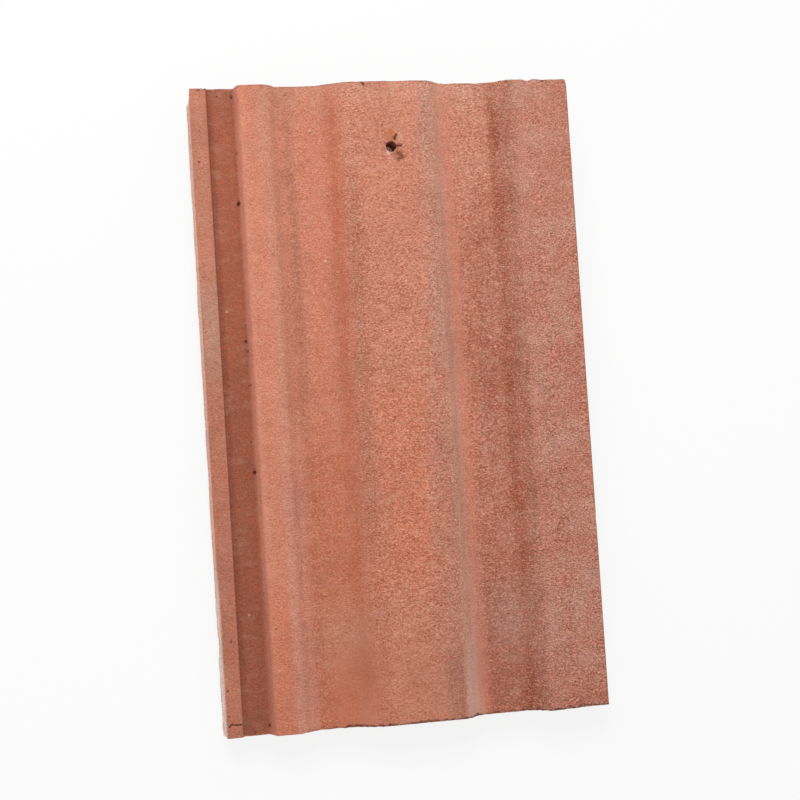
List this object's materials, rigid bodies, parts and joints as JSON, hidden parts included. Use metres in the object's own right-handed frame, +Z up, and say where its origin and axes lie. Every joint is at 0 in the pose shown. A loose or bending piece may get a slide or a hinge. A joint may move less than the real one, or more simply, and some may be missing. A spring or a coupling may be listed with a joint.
{
  "type": "interlocking concrete roof tile",
  "caption": "Low-profile interlocking concrete roof tile, terracotta red, with rolls and pans, a side lock on each long edge, nibs, weather bars and a nail hole.",
  "frame": {"origin": "middle of the tile's box on the floor that it lies on, face up", "axes": "+X across the tile from the underlock to the overlock, +Y towards the head, +Z up"},
  "size_m": [0.23, 0.3806, 0.0398],
  "materials": {
    "coloured_concrete": "matt, sandy through-coloured concrete with long streaks"
  },
  "bodies": {
    "root": {"roof_tile": "coloured_concrete"}
  },
  "joints": []
}
